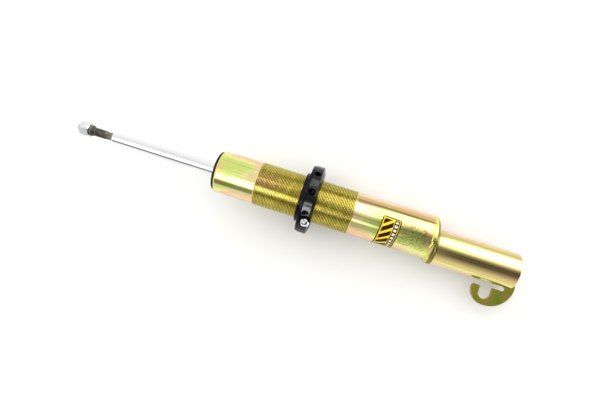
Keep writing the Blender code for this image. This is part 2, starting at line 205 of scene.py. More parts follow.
def turned(name, profile, radius=0.4 * MM, cols=128, y=None, closed=True, **more):
    """A profile of (x, radius) pairs, its corners softened, carried round the strut's axis."""
    rows = held(softened(profile, radius, closed=closed), closed)
    return skin(name, ring_points(rows[:, 0], rows[:, 1], cols, y), wrap_rows=closed, **more)


# %% [markdown]
# Shader maths reads best as Python. A Socket stands for one output, and adding or multiplying two of
# them makes the Math node. Every other node comes from Finish.node: settings first, then its sockets.

# %% Shader expressions


class Socket:
    """One output of a node tree, with the arithmetic that the finishes use."""

    def __init__(self, finish, out):
        self.finish, self.out = finish, out

    def __add__(self, other):
        return self.finish.math("ADD", self, other)

    def __sub__(self, other):
        return self.finish.math("SUBTRACT", self, other)

    def __rsub__(self, other):
        return self.finish.math("SUBTRACT", other, self)

    def __mul__(self, other):
        return self.finish.math("MULTIPLY", self, other)

    def __truediv__(self, other):
        return self.finish.math("DIVIDE", self, other)

    def __lt__(self, other):
        return self.finish.math("LESS_THAN", self, other)

    __radd__, __rmul__ = __add__, __mul__

    def abs(self):
        return self.finish.math("ABSOLUTE", self, 0)

    def floor(self):
        return self.finish.math("FLOOR", self, 0)

    def max(self, other):
        return self.finish.math("MAXIMUM", self, other)

    def step(self, low, high):
        """0 below low, 1 above high, and smooth between them."""
        return self.finish.node("MapRange", {"interpolation_type": "SMOOTHSTEP"},
                                {"Value": self, "From Min": low, "From Max": high})

    def band(self, centre, half, soft):
        """1 within half of centre, falling to 0 over soft."""
        return 1 - (self - centre).abs().step(half, half + soft)


class Finish:
    """A node tree that ends in one shader, with the nodes that feed it made by expressions."""

    def __init__(self, tree):
        self.tree = tree
        self.tree.nodes.clear()

    def node(self, kind, settings=None, sockets=None, out=0):
        """A new shader node of this kind, as a Socket of its output, or as itself where it has none."""
        made = self.tree.nodes.new("ShaderNode" + kind)
        for key, value in (settings or {}).items():
            if key == "stops":
                self.set_stops(made.color_ramp, value)
            else:
                setattr(made, key, value)
        for key, value in (sockets or {}).items():
            if isinstance(value, Socket):
                self.tree.links.new(value.out, made.inputs[key])
            else:
                made.inputs[key].default_value = value
        return Socket(self, made.outputs[out]) if len(made.outputs) else made

    @staticmethod
    def set_stops(ramp, stops):
        """A ramp's stops: (place, grey) or (place, (r, g, b)) pairs."""
        while len(ramp.elements) < len(stops):
            ramp.elements.new(0.5)
        for element, (place, colour) in zip(ramp.elements, stops):
            element.position = place
            element.color = (*(colour if isinstance(colour, tuple) else (colour,) * 3), 1.0)

    def math(self, operation, a, b):
        return self.node("Math", {"operation": operation}, {0: a, 1: b})

    def mix(self, share, a, b):
        """Colour a where share is 0 and b where it is 1."""
        sockets = {0: share}
        for key, value in ((6, a), (7, b)):
            sockets[key] = value if isinstance(value, Socket) else (*value, 1.0)
        return self.node("Mix", {"data_type": "RGBA"}, sockets, out=2)

    def times(self, share, a, b):
        """Colour a, multiplied by b as far as share says."""
        return self.node("Mix", {"data_type": "RGBA", "blend_type": "MULTIPLY"},
                         {0: share, 6: a, 7: b}, out=2)

    def place(self, scale=(1, 1, 1), centre=(0, 0, 0)):
        """Object coordinates about a centre, scaled along each axis."""
        where = self.node("TexCoord", out="Object")
        moved = self.node("VectorMath", {"operation": "SUBTRACT"}, {0: where, 1: centre})
        return self.node("VectorMath", {"operation": "MULTIPLY"}, {0: moved, 1: scale})

    def split(self, vector):
        cut = self.node("SeparateXYZ", None, {0: vector})
        return [Socket(self, out) for out in cut.out.node.outputs]

    def noise(self, scale, detail=2.0, roughness=0.5, stretch=(1, 1, 1), centre=(0, 0, 0)):
        return self.node("TexNoise", None, {"Vector": self.place(stretch, centre), "Scale": scale,
                                                      "Detail": detail, "Roughness": roughness})

    def ramp(self, share, stops):
        return self.node("ValToRGB", {"stops": stops}, {0: share})

    def bump(self, height, distance):
        return self.node("Bump", None, {"Height": height, "Distance": distance})

    def grained(self, colour, grain, gloss, spread, height):
        """A surface of this colour: its roughness is gloss + spread (grain - 1/2), and grain is its bumps."""
        return {"Base Color": colour, "Roughness": (grain - 0.5) * spread + gloss,
                "Normal": self.bump(grain, height)}


def metal(name, build, metallic=1.0, **fixed):
    """A Principled material: build returns what varies, by socket name, and fixed holds single values."""
    made = bpy.data.materials.new(name)
    made.use_nodes = True
    finish = Finish(made.node_tree)
    shader = finish.node("BsdfPrincipled", None, {"Metallic": metallic, **fixed, **build(finish)})
    finish.node("OutputMaterial", None, {"Surface": shader})
    print("finish", name, len(finish.tree.nodes), "nodes")
    return made


def even(dark, light, gloss, spread, height, scale, detail=2.0, cloud=None, stretch=(1, 1, 1)):
    """A build with one noise for roughness and bumps, and the same or a broader one for the colour."""
    def build(finish):
        grain = finish.noise(scale, detail, stretch=stretch)
        shade = grain if cloud is None else finish.noise(cloud, 2.0)
        return finish.grained(finish.ramp(shade, [(0.3, dark), (0.7, light)]), grain, gloss, spread, height)

    return build


def coat(piece, *looks):
    """The piece, with its finishes put on."""
    for look in looks:
        piece.data.materials.append(look)
    return piece


# %% [markdown]
# Yellow zinc plating is a film a few tenths of a micron thick, and its thickness decides the colour:
# straw gold, then lime, then peach and pink. It pools and thins over a few centimetres, so a slow noise,
# leaned on by the position along the strut and round it, picks the colour from a ramp. The lean round it
# is a painted sheen: the real film colours are pushed towards peach and pink near the tube's edges in Y
# and on the +Y side below the thread, for the tint a thin film shows at grazing angles. A second noise,
# drawn out along X, gives the long fine lines that a drawn tube keeps under its plating. A brown band
# along the +Y side below the thread is a painted reflection of a dark band, and an olive blotch lies
# beside the label.

# %% Yellow zinc on the tubes
GOLD, LIME, YELLOW, PEACH, PINK = ((0.84, 0.64, 0.27), (0.64, 0.80, 0.20), (0.84, 0.78, 0.34),
                                   (0.84, 0.54, 0.32), (0.90, 0.68, 0.46))
REFLECTED_BROWN, OLIVE = (0.54, 0.37, 0.14), (0.36, 0.27, 0.09)
FILM = ((0.0, GOLD), (0.16, GOLD), (0.34, LIME), (0.50, YELLOW), (0.68, PEACH), (0.9, PINK))
DRIFT = ((-0.416, 0.16), (-0.404, 0.14), (-0.388, 0.36), (-0.358, 0.46), (-0.222, 0.44), (-0.195, 0.40),
         (-0.150, 0.26), (-0.110, 0.12), (-0.090, 0.30), (-0.062, 0.20), (-0.056, 0.36), (-0.050, 0.14),
         (0.0, 0.06))


def drift(finish, x):
    """The plating's thickness along the strut, from the stations and values of DRIFT."""
    start, end = DRIFT[0][0], DRIFT[-1][0]
    return finish.ramp((x - start) / (end - start), [((at - start) / (end - start), t) for at, t in DRIFT])


def yellow_zinc(name, axis, sides, dark_reflection, lean, gloss):
    """Plating on a tube whose axis is at Y = axis.

    sides (start, end, share): a painted sheen, the film pushed on by share between two distances from the
    axis in Y.
    dark_reflection (centre, half, soft): where the painted brown reflection lies, as a distance from the axis
    towards +Y.
    """
    def build(finish):
        x, y, z = finish.split(finish.place())
        drawn = finish.noise(1.0, 3.0, stretch=(5, 420, 420))
        speck = finish.noise(420.0, 2.0)
        patches = finish.noise(26.0, 2.0, stretch=(1, 1.4, 1.4), centre=(0.07, 0, 0))
        lower_half = x.step(THREAD_LOW - 4.6 * MM, THREAD_LOW + 5.4 * MM)
        # Painted sheen: the film leans towards peach and pink near the edges in Y, and on the +Y side below
        # the thread.
        side = (y - axis).abs().step(*sides[:2]) * sides[2]
        sheen_upper = lower_half * (y - AXIS_Y).step(0.012, 0.018) * 0.22
        colour = finish.ramp(drift(finish, x) + side + sheen_upper + (patches - 0.5) * 0.8 + lean, FILM)
        colour = finish.times(0.7, colour, finish.ramp(drawn, [(0.32, 0.62), (0.42, 0.93), (0.7, 1.0)]))
        blotch = finish.noise(330.0, 4.0, 0.7).step(0.46, 0.60)
        beside_label = x.band(-0.139, 0.013, 0.008) * y.band(AXIS_Y - 0.006, 0.011, 0.006) * z.step(0.0, 0.01)
        colour = finish.mix(beside_label * blotch * 0.75, colour, OLIVE)
        # Painted reflection: a brown band along the +Y side below the thread.
        colour = finish.mix(lower_half * (y - axis).band(*dark_reflection) * 0.75, colour, REFLECTED_BROWN)
        rough = (drawn - 0.5) * 0.10 + (speck - 0.5) * 0.06 + gloss
        return {"Base Color": colour, "Roughness": rough.max(0.04),
                "Normal": finish.bump(drawn * 0.6 + speck * 0.4, 2e-5)}

    return metal(name, build)


plated = yellow_zinc("yellow_zinc_tube", AXIS_Y, (0.014, 0.029, 0.34), (0.0212, 0.0026, 0.0016), 0.0, 0.15)
plated_clamp = yellow_zinc("yellow_zinc_clamp", TUBE_Y, (0.014, 0.023, 0.62), (0.0186, 0.0008, 0.0012),
                           -0.06, 0.11)

# %% [markdown]
# On the thread the crests keep a clear yellow film, and the grooves are painted dark brown as painted
# shade. The distance from the axis tells one from the other, and a fine noise gives the chatter of the
# threading tool.

# %% Yellow zinc on the thread


def from_axis(finish):
    """Distance from the body's axis: the length of (0, y - axis, z)."""
    return finish.node("VectorMath", {"operation": "LENGTH"},
                       {0: finish.place((0, 1, 1), (0, AXIS_Y, 0))}, out="Value")


def thread_build(finish):
    x, y, _ = finish.split(finish.place())
    crest = from_axis(finish).step(ROOT_R + 0.1 * MM, CREST_R - 0.15 * MM)
    patches = finish.noise(22.0, 2.0, stretch=(1, 1.4, 1.4))
    chatter = finish.noise(1.0, 2.0, stretch=(330, 110, 110))
    orange = (1 - x.step(-0.338, -0.308)) * y.band(AXIS_Y + 0.004, 0.006, 0.010)
    colour = finish.ramp(patches, [(0.35, (0.78, 0.66, 0.13)), (0.6, (0.88, 0.77, 0.16))])
    colour = finish.mix(orange * 0.8, colour, (0.84, 0.54, 0.22))
    colour = finish.times(1.0, colour, finish.ramp(chatter, [(0.3, 0.72), (0.7, 1.0)]))
    # Painted shade: the grooves below the crests go dark brown.
    colour = finish.mix((1 - crest) * 0.9, colour, (0.22, 0.165, 0.028))
    return finish.grained(colour, chatter, 0.2, 0.12, 3e-5)


plated_thread = metal("yellow_zinc_thread", thread_build)

# %% [markdown]
# Flat and welded plate takes the film in blotches. Past its bright rim, the end plate is painted dark olive
# as painted shade where it turns in to meet the tube, and the sheared edges of the pressed hook are darker
# than its faces.

# %% Yellow zinc on the plates


def plate_build(shade_share):
    """Plating over welded plate: gold and lime, and painted shade in dark olive past the rim, towards the
    tube.
    """
    def build(finish):
        x = finish.split(finish.place())[0]
        tone = finish.noise(90.0, 3.0)
        speck = finish.noise(420.0, 3.0)
        colour = finish.ramp(tone, [(0.36, (0.72, 0.62, 0.16)), (0.5, (0.74, 0.76, 0.22)),
                                    (0.64, (0.84, 0.62, 0.26))])
        # Painted shade: dark olive past the plate's rim, where it meets the tube.
        painted_shade = x.step(PLATE_HIGH + 2.6 * MM, PLATE_HIGH + 5.2 * MM) * shade_share
        colour = finish.mix(painted_shade, colour, (0.13, 0.105, 0.02))
        return finish.grained(colour, speck, 0.26, 0.14, 8e-5)

    return build


# This finish also puts painted shade on the lower weld, which lies past the plate's rim.
plated_seam = metal("yellow_zinc_seam", plate_build(0.85))
plated_plate = metal("yellow_zinc_plate", plate_build(0.0))


def bracket_build(finish):
    tone = finish.noise(55.0, 2.0, stretch=(1, 1, 0))
    speck = finish.noise(420.0, 3.0)
    colour = finish.ramp(tone, [(0.34, (0.32, 0.44, 0.07)), (0.46, (0.50, 0.45, 0.06)),
                                (0.57, (0.52, 0.42, 0.07)), (0.66, (0.66, 0.38, 0.18))])
    z = finish.split(finish.place())[2]
    edge = 1 - z.abs().step(BRACKET_HALF - 0.5 * MM, BRACKET_HALF - 0.15 * MM)
    colour = finish.mix(edge * 0.8, colour, (0.10, 0.07, 0.015))
    return finish.grained(colour, speck, 0.33, 0.16, 6e-5)


plated_bracket = metal("yellow_zinc_bracket", bracket_build)

# %% [markdown]
# The body is one turned tube. Its upper end is rolled over the seal in a tight curve, and the thread
# stands a little proud of the smooth stretches on each side of it. The thread is real geometry: at each
# point the phase is the distance along X in pitches minus the share of a turn, which makes a helix, and
# a flattened triangle wave of that phase gives the V groove with its flat crest and root.

# %% Damper body
ROWS_A_PITCH = 8
BODY_COLS = 128


def helix(x, cols, pitch):
    """Groove height, 0 at the root and 1 at the crest, for each x and column."""
    phase = (x[:, None] / pitch - np.arange(cols) / cols) % 1
    return np.clip(0.5 + 1.3 * (1 - 4 * np.abs(phase - 0.5)), 0, 1)


def fade(x, start, end, dark_reflection):
    """1 between start and end, easing to 0 over run outside the thread's ends."""
    share = np.clip(np.minimum(x - start, end - x) / dark_reflection, 0, 1)
    return share * share * (3 - 2 * share)


def rolled_end():
    """A quarter of an ellipse from the flat end face out to the body's wall."""
    turn = np.linspace(0, np.pi / 2, 14)
    x = ROLL_START - (ROLL_START - BODY_HIGH) * np.cos(turn)
    radius = BODY_R - 2.4 * MM * (1 - np.sin(turn))
    return np.stack([x, radius], 1)


def damper_body():
    lip = BODY_HIGH + 1.6 * MM
    thread_x = np.arange(THREAD_HIGH, THREAD_LOW, THREAD_PITCH / ROWS_A_PITCH)
    outer = np.vstack([[(lip, ROLL_LIP_R), (BODY_HIGH + 0.4 * MM, ROLL_LIP_R),
                        (BODY_HIGH, ROLL_LIP_R + 0.4 * MM)], rolled_end(),
                       [(THREAD_HIGH - 20 * MM, BODY_R)],
                       np.stack([thread_x, np.full(len(thread_x), BODY_R)], 1),
                       [(THREAD_LOW + 20 * MM, BODY_R), (BODY_LOW - 0.4 * MM, BODY_R),
                        (BODY_LOW, BODY_R - 0.4 * MM), (BODY_LOW, BODY_BORE_R), (lip, BODY_BORE_R)]])
    outer = held(outer)
    x = outer[:, 0]
    share = fade(x, THREAD_HIGH, THREAD_LOW, 1.2 * THREAD_PITCH)[:, None]
    share = np.where(outer[:, 1:] == BODY_R, share, 0)
    groove = ROOT_R + (CREST_R - ROOT_R) * helix(x, BODY_COLS, THREAD_PITCH)
    radius = outer[:, 1:] * (1 - share) + groove * share
    threaded = (share[:, 0] > 0.5).astype(int)
    return skin("body_shell", ring_points(x, radius, BODY_COLS), wrap_rows=True, materials=threaded,
                sharp=50)


body_shell = coat(damper_body(), plated, plated_thread)
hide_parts("threaded_body")
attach(body_shell, "housing")

# %% [markdown]
# The end plate joins two tubes whose axes don't meet. Each cross-section is the outline of a band
# stretched round two circles, one on each tube's axis, and the circles' radii change along the plate.

# %% Eccentric end plate
PLATE_ROWS = ((0.0, 29.2, 19.9), (1.4, 29.4, 21.6), (2.9, 29.2, 24.0), (4.4, 28.4, 24.7),
              (6.2, 26.6, 24.7), (7.5, 24.4, 24.2))


def banded(top_r, low_r, count=144):
    """Points of the band round a circle on the body's axis and one on the tube's, in YZ."""
    tangent = np.arccos(np.clip((low_r - top_r) / (AXIS_Y - TUBE_Y), -1, 1))
    low_count = count // 4
    top = np.linspace(-tangent, tangent, count - low_count)
    low = np.linspace(tangent, 2 * np.pi - tangent, low_count + 2)[1:-1]
    y = np.concatenate([AXIS_Y + top_r * np.cos(top), TUBE_Y + low_r * np.cos(low)])
    z = np.concatenate([top_r * np.sin(top), low_r * np.sin(low)])
    return np.stack([y, z], 1)


def end_plate():
    station, top_r, low_r = np.array(PLATE_ROWS).T
    fine = np.linspace(0, station[-1], 25)
    rows = []
    for at, top, low in zip(fine, np.interp(fine, station, top_r), np.interp(fine, station, low_r)):
        outline = banded(top * MM, low * MM)
        rows.append(np.column_stack([np.full(len(outline), PLATE_HIGH + at * MM), outline]))
    return skin("eccentric_plate", np.array(rows))


eccentric_plate = end_plate()
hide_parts("end_plate")

# %% [markdown]
# The knuckle's clamp closes round the lower tube. It is a plain turned tube with softly rounded ends, and a
# disc shuts its lower end. Both are profiles carried round the tube's own axis.

# %% Lower clamp tube
clamp_tube = turned("clamp_tube", [(TUBE_HIGH, TUBE_R), (TUBE_LOW, TUBE_R), (TUBE_LOW, TUBE_BORE_R),
                                   (TUBE_HIGH, TUBE_BORE_R)], 1.2 * MM, y=TUBE_Y)
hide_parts("lower_clamp_tube")
end_cap_high, end_cap_low, _, end_cap_r = span("lower_end_cap")
tube_cap = turned("tube_cap", [(end_cap_high, 0.1 * MM), (end_cap_high, end_cap_r), (end_cap_low, end_cap_r),
                               (end_cap_low, 0.1 * MM)], 0.6 * MM, y=TUBE_Y, closed=False)
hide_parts("lower_end_cap")

# %% [markdown]
# A weld bead is a small tube laid along a path. Its radius swells a little at each dab of the torch,
# which gives the fish-scale ripple, and it thins out at its two ends.

# %% Weld beads


def bead(name, path, radius, dab, squash):
    """A rippled tube along a path of points, squashed across it.

    Its radius is multiplied by 1 + 0.10 |sin| of the distance in dabs, plus a slow wave, and falls with the
    square root of the distance to either end.
    """
    along = np.gradient(path, axis=0)
    length = np.concatenate([[0], np.cumsum(np.linalg.norm(np.diff(path, axis=0), axis=1))])
    along /= np.linalg.norm(along, axis=1)[:, None]
    side = np.cross(along, [1.0, 0.0, 0.0])
    side /= np.linalg.norm(side, axis=1)[:, None]
    up = np.cross(side, along)
    turn = np.arange(16) / 16 * 2 * np.pi
    ripple = 1 + 0.10 * np.abs(np.sin(np.pi * length / dab)) + 0.06 * np.sin(length / dab * 0.37)
    ends = np.clip(np.minimum(length, length[-1] - length) / (2 * radius), 0.05, 1) ** 0.5
    size = (radius * ripple * ends)[:, None, None]
    points = path[:, None] + size * (np.cos(turn)[None, :, None] * side[:, None] * squash
                                     + np.sin(turn)[None, :, None] * up[:, None])
    return skin(name, points)


upper_path = around(np.linspace(18, 372, 420), BODY_R - 0.3 * MM, PLATE_HIGH + 0.2 * MM)
upper_weld = bead("upper_weld", upper_path, 1.7 * MM, 2.2 * MM, 0.42)
lower_path = around(np.linspace(-200, 155, 360), TUBE_R - 0.2 * MM, PLATE_LOW + 0.9 * MM, TUBE_Y)
lower_weld = bead("lower_weld", lower_path, 1.9 * MM, 2.0 * MM, 0.55)

# %% [markdown]
# The hose bracket is a pressed hook of 3 mm plate. Its outline is a chain of arcs, and the same outline,
# drawn in a little, makes the worn edges above and below.

# %% Hose bracket


def arc(centre, radius, start, end, count):
    """Points of an arc in XY, from millimetres and degrees."""
    turn = np.radians(np.linspace(start, end, count))
    return np.stack([centre[0] * MM + radius * MM * np.cos(turn),
                     centre[1] * MM + radius * MM * np.sin(turn)], 1)


def hook_outline():
    """The bracket's edge: round the hook, up the plate's back, over the tube's end, and round the notch."""
    return np.vstack([
        arc((-26.5, -34.5), 19.4, 180, 270, 28), arc((-24.5, -21.4), 32.5, -92, 0, 48),
        [(6.5 * MM, -11 * MM), (4 * MM, -8 * MM), (0.3 * MM, -8 * MM), (0.3 * MM, -24.3 * MM)],
        arc((-6.1, -26.7), 2.4, 85, -90, 12),
        arc((-20.4, -30.1), 1.0, 90, 180, 4) + [(1.9 * MM, 0)],
        arc((-27.2, -38.3), 7.7, 0, -180, 30),
        arc((-36.4, -31.6), 1.5, 0, 90, 6), arc((-41.6, -34.4), 4.3, 90, 180, 10)])


def drawn_in(outline, inset):
    """Every point moved inwards, square to the edge there."""
    edge = np.roll(outline, -1, 0) - np.roll(outline, 1, 0)
    edge /= np.linalg.norm(edge, axis=1)[:, None]
    return outline + inset * np.stack([-edge[:, 1], edge[:, 0]], 1)


def hose_bracket():
    outline = hook_outline()
    low = [(0.4 * MM, 0.0), (0.1 * MM, 0.12 * MM), (0.0, 0.4 * MM)]
    rows = [(inset, up - BRACKET_HALF) for inset, up in low]
    rows += [(inset, BRACKET_HALF - up) for inset, up in low[::-1]]
    rows = [np.column_stack([drawn_in(outline, inset), np.full(len(outline), z)]) for inset, z in rows]
    count = len(outline)
    faces = quads(len(rows), count, False, True).tolist()
    faces += [list(range(count))[::-1], list(range((len(rows) - 1) * count, len(rows) * count))]
    return mesh_object("hook_bracket", np.vstack(rows), faces, 50)


hook_bracket = hose_bracket()
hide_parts("hose_bracket")

for piece, look in ((eccentric_plate, plated_seam), (clamp_tube, plated_clamp), (tube_cap, plated_plate),
                    (upper_weld, plated_seam), (lower_weld, plated_seam), (hook_bracket, plated_bracket)):
    coat(piece, look)
    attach(piece, "housing")

# %% [markdown]
# The rod is ground and hard chromed, so it is almost a mirror with fine rings from the grinding wheel.
# Its end is left as dark phosphated steel, with a real M12 thread, and both are one piece of metal: the
# mesh carries two materials, told apart by the row. The nut and the pinch screw are bright zinc.

# %% Chrome, dark steel and bright zinc
chrome = metal("hard_chrome", even((0.79, 0.80, 0.80), (0.85, 0.855, 0.855), 0.09, 0.05, 4e-6, 1.0,
                                   cloud=26.0, stretch=(900, 12, 12)))
dark_steel = metal("phosphated_steel", even((0.075, 0.07, 0.05), (0.20, 0.19, 0.145), 0.42, 0.2, 2e-5,
                                            900.0, 3.0, cloud=120.0), 0.85)
bright_zinc = metal("bright_zinc", even((0.68, 0.69, 0.70), (0.80, 0.80, 0.80), 0.24, 0.12, 1e-5, 700.0,
                                        cloud=90.0))

# %% [markdown]
# The rod is one profile from its threaded tip to the end inside the body: thread, neck, shoulder, the long
# ground run, and a spigot that carries the piston. The thread uses the body's wave, cut down from the crest.

# %% Piston rod
ROD_COLS = 96


def piston_rod():
    thread_x = np.arange(ROD_TIP + 1.2 * MM, ROD_THREAD_LOW, ROD_THREAD_PITCH / ROWS_A_PITCH)
    profile = np.vstack([[(ROD_TIP, ROD_THREAD_R - 1.4 * MM)],
                         np.stack([thread_x, np.full(len(thread_x), ROD_THREAD_R)], 1),
                         [(ROD_THREAD_LOW + 0.8 * MM, ROD_NECK_R), (ROD_SHOULDER - 0.5 * MM, ROD_NECK_R),
                          (ROD_SHOULDER, ROD_NECK_R + 0.4 * MM), (ROD_SHOULDER, ROD_R - 1.1 * MM),
                          (ROD_SHOULDER + 0.4 * MM, ROD_R - 0.5 * MM), (ROD_SHOULDER + 1.2 * MM, ROD_R),
                          (SPIGOT_X - 0.5 * MM, ROD_R), (SPIGOT_X, ROD_R - 0.5 * MM), (SPIGOT_X, SPIGOT_R),
                          (ROD_END - 0.8 * MM, SPIGOT_R), (ROD_END, SPIGOT_R - 0.8 * MM)]])
    profile = held(profile, closed=False)
    x = profile[:, 0]
    share = fade(x, ROD_TIP + 1.2 * MM, ROD_THREAD_LOW, ROD_THREAD_PITCH)[:, None]
    share = np.where(profile[:, 1:] == ROD_THREAD_R, share, 0)
    depth = 0.9 * MM * (1 - helix(x, ROD_COLS, ROD_THREAD_PITCH))
    radius = profile[:, 1:] - depth * share
    return skin("rod_shaft", ring_points(x, radius, ROD_COLS),
                materials=(x < ROD_SHOULDER + 0.2 * MM).astype(int))


rod_shaft = coat(piston_rod(), chrome, dark_steel)
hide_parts("piston_rod")
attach(rod_shaft, "rod")

# %% [markdown]
# A nut is a hexagon whose corners are cut back by two cones. At each turn the hexagon's radius is the
# distance to its flat divided by the cosine of the angle to the flat's middle, and each row takes the
# smaller of that and the cone's radius.

# %% Top nut and washer


def hexagon_r(cols, flats):
    """Radius of a hexagon for each of cols columns: flats / 2 / cos of the turn from a flat's middle."""
    turn = (np.arange(cols) / cols * 2 * np.pi + np.pi / 6) % (np.pi / 3) - np.pi / 6
    return flats / 2 / np.cos(turn)


def top_nut():
    cols, corner = 144, NUT_FLATS / 2 / np.cos(np.pi / 6)
    share = np.concatenate([[0.0], np.linspace(0, 0.12, 6), np.linspace(0.88, 1, 6), [1.0]])
    cone = np.concatenate([[STUD_BORE_R + 0.8 * MM], np.linspace(NUT_FLATS / 2 * 0.96, corner, 6),
                           np.linspace(corner, NUT_FLATS / 2 * 0.98, 6), [STUD_BORE_R + 0.5 * MM]])
    radius = np.minimum(hexagon_r(cols, NUT_FLATS)[None, :], cone[:, None])
    x = np.append(NUT_HIGH + share * (NUT_LOW - NUT_HIGH), [NUT_LOW - 0.6 * MM, NUT_HIGH + 0.6 * MM])
    radius = np.vstack([radius, np.full((2, cols), STUD_BORE_R)])
    return skin("hex_nut", ring_points(x, radius, cols), wrap_rows=True, sharp=25)


hex_nut = coat(top_nut(), bright_zinc)
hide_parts("top_nut")
stud_washer = turned("stud_washer", [(WASHER_HIGH, WASHER_R), (WASHER_LOW, WASHER_R),
                                     (WASHER_LOW, STUD_BORE_R), (WASHER_HIGH, STUD_BORE_R)], 0.4 * MM, 72)
coat(stud_washer, dark_steel)
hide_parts("top_washer")
for piece in (hex_nut, stud_washer):
    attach(piece, "top_nut")

# %% [markdown]
# The seat and the ring are turned from aluminium and black anodised. The finish is a clear hard layer
# over a dark dye: it isn't a metal to light, and the tool's fine rings still show in it. A noise wears it
# thin in specks. Round the ring's outside, mostly between the spanner holes and along the top, pale grey
# patches are painted highlights, where the bright panels would be reflected. The table below gives how
# strong they are, at each turn in degrees from +Z towards -Y.

# %% Black anodised aluminium
RING_CONE = RING_HIGH + 10.8 * MM
HOLE_X = (RING_HIGH + RING_CONE) / 2
PAINTED_RING_HIGHLIGHTS = ((-180, 0.1), (-92, 0.22), (-74, 0.1), (-62, 0.02), (-36, 0.02), (-31, 0.09), (-22, 0.08),
          (-17, 0.0), (4, 0.0), (9, 0.26), (14, 0.4), (21, 0.3), (25, 0.04), (30, 0.0), (60, 0.03),
          (85, 0.14), (180, 0.1))


def round_ramp(finish, y, z, stops):
    """A ramp of (degrees, value) stops over the turn from +Z towards -Y."""
    turn = finish.math("ARCTAN2", y * -1, z) / (2 * np.pi) + 0.5
    return finish.ramp(turn, [((at + 180) / 360, value) for at, value in stops])


def anodised_build(finish):
    x, y, z = finish.split(finish.place(centre=(0, AXIS_Y, 0)))
    out = from_axis(finish)
    rings = finish.noise(1.0, 1.0, stretch=(2500, 0, 0))
    faced = finish.math("SINE", out * 9000, 0)
    speck = finish.noise(500.0, 3.0)
    wear = finish.noise(160.0, 3.0).step(0.62, 0.8)
    colour = finish.mix(wear * 0.35, (0.004, 0.004, 0.005), (0.04, 0.04, 0.043))
    # Painted highlights: pale grey patches on the ring's outside, set by the turn round the axis and broken
    # up by a noise.
    outside = out.step(RING_R - 1.3 * MM, RING_R - 0.5 * MM) * x.band(HOLE_X, 5.2 * MM, 0.5 * MM)
    highlight_breakup = finish.noise(1.0, 3.0, stretch=(60, 300, 300)).step(0.25, 0.6)
    colour = finish.mix(round_ramp(finish, y, z, PAINTED_RING_HIGHLIGHTS) * outside * highlight_breakup, colour, (0.62, 0.62, 0.63))
    return {"Base Color": colour, "Roughness": (speck - 0.5) * 0.08 + wear * 0.08 + 0.14,
            "Normal": finish.bump(rings * 0.5 + faced * 0.08 + speck * 0.3, 6e-6)}


anodised = metal("black_anodised", anodised_build, 0.0, **{"Specular IOR Level": 0.11})
cap_black = metal("cap_black", even((0.008,) * 3, (0.016,) * 3, 0.5, 0.1, 1e-5, 600.0), 0.0,
                  **{"Specular IOR Level": 0.15})

# %% [markdown]
# The seat is a thin flange that carries the coil spring, with a lip that centres it. The dust cap is a
# moulded disc whose rim lies over the body's rolled end, with a plug inside. Each is one closed profile.

# %% Spring seat and dust cap
LIP_R = 33.9 * MM
LIP_BACK = SEAT_HIGH + 5.4 * MM
seat_flange = turned("seat_flange", [(SEAT_HIGH, LIP_R), (LIP_BACK, LIP_R), (LIP_BACK, SEAT_R),
                                     (SEAT_LOW, SEAT_R), (SEAT_LOW, RING_BORE_R), (SEAT_HIGH, RING_BORE_R)],
                     0.6 * MM, 192)
coat(seat_flange, anodised)
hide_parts("spring_seat")
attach(seat_flange, "spring_seat")

cap_lip = BODY_HIGH - GAP
rod_lip = ROD_R + 1.2 * MM
wiper_cap = turned("wiper_cap", [(CAP_HIGH + 0.9 * MM, rod_lip), (CAP_HIGH + 0.9 * MM, 12 * MM),
                                 (CAP_HIGH, 14 * MM), (CAP_HIGH, CAP_R), (cap_lip, CAP_R),
                                 (cap_lip, ROLL_LIP_R - GAP), (CAP_LOW, ROLL_LIP_R - GAP),
                                 (CAP_LOW, rod_lip)], 0.6 * MM, 144)
coat(wiper_cap, cap_black)
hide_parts("dust_cap")
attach(wiper_cap, "housing")

# %% [markdown]
# The adjuster ring starts as a turned ring with softened corners. Its spanner holes, the slit, and the
# pocket and bore of the pinch screw are cut with Booleans, because their edges cross the grid at every
# angle. Each cutter is a turned solid laid along the hole's line, with the chamfer in its own profile.

# %% Adjuster ring
RING_BACK_R = 39.0 * MM
HOLES, HOLE_R, HOLE_DEPTH, FIRST_HOLE = 10, 4.5 * MM, 9.0 * MM, -47.5
SLIT_TURN, SLIT_WIDTH, SOLID_TURN = 70.0, 2.4 * MM, 40.0  # no spanner hole within SOLID_TURN of the slit
PINCH_R, PINCH_X = 37.6 * MM, -278.4 * MM
PINCH_SEAT, PINCH_HEAD, PINCH_HEAD_R, POCKET_R = 6.8 * MM, 7.0 * MM, 6.2 * MM, 7.2 * MM
PINCH_SHANK_R, PINCH_END = 3.6 * MM, 18.0 * MM
THROUGH = 40.0 * MM  # longer than any wall that is cut through


def spindle(name, profile, start, direction, cols=48, shape=None, **more):
    """(distance, radius) rows carried round a line from start along direction, capped at both ends."""
    rows = np.asarray(profile, float)
    turn = np.arange(cols) / cols * 2 * np.pi
    radius = rows[:, 1:] * (np.ones(cols) if shape is None else shape)
    local = np.stack([radius * np.cos(turn), radius * np.sin(turn), rows[:, :1] + 0 * turn], -1)
    to_world = np.array(Vector(direction).to_track_quat("Z", "X").to_matrix())
    return skin(name, local @ to_world.T + np.array(start), **more)


def take(piece, cutter):
    """Applies a Boolean difference, and removes the cutter."""
    change = piece.modifiers.new("cut", "BOOLEAN")
    change.operation, change.solver, change.object = "DIFFERENCE", "EXACT", cutter
    seen = piece.evaluated_get(bpy.context.evaluated_depsgraph_get())
    mesh = bpy.data.meshes.new_from_object(seen)
    piece.modifiers.clear()
    piece.data = mesh
    bpy.data.objects.remove(cutter)


def pinch_line():
    """The pinch screw's place at the slit and the direction towards its head."""
    turn = np.radians(SLIT_TURN)
    return Vector(around(SLIT_TURN, PINCH_R, PINCH_X)), Vector((0, np.cos(turn), np.sin(turn)))


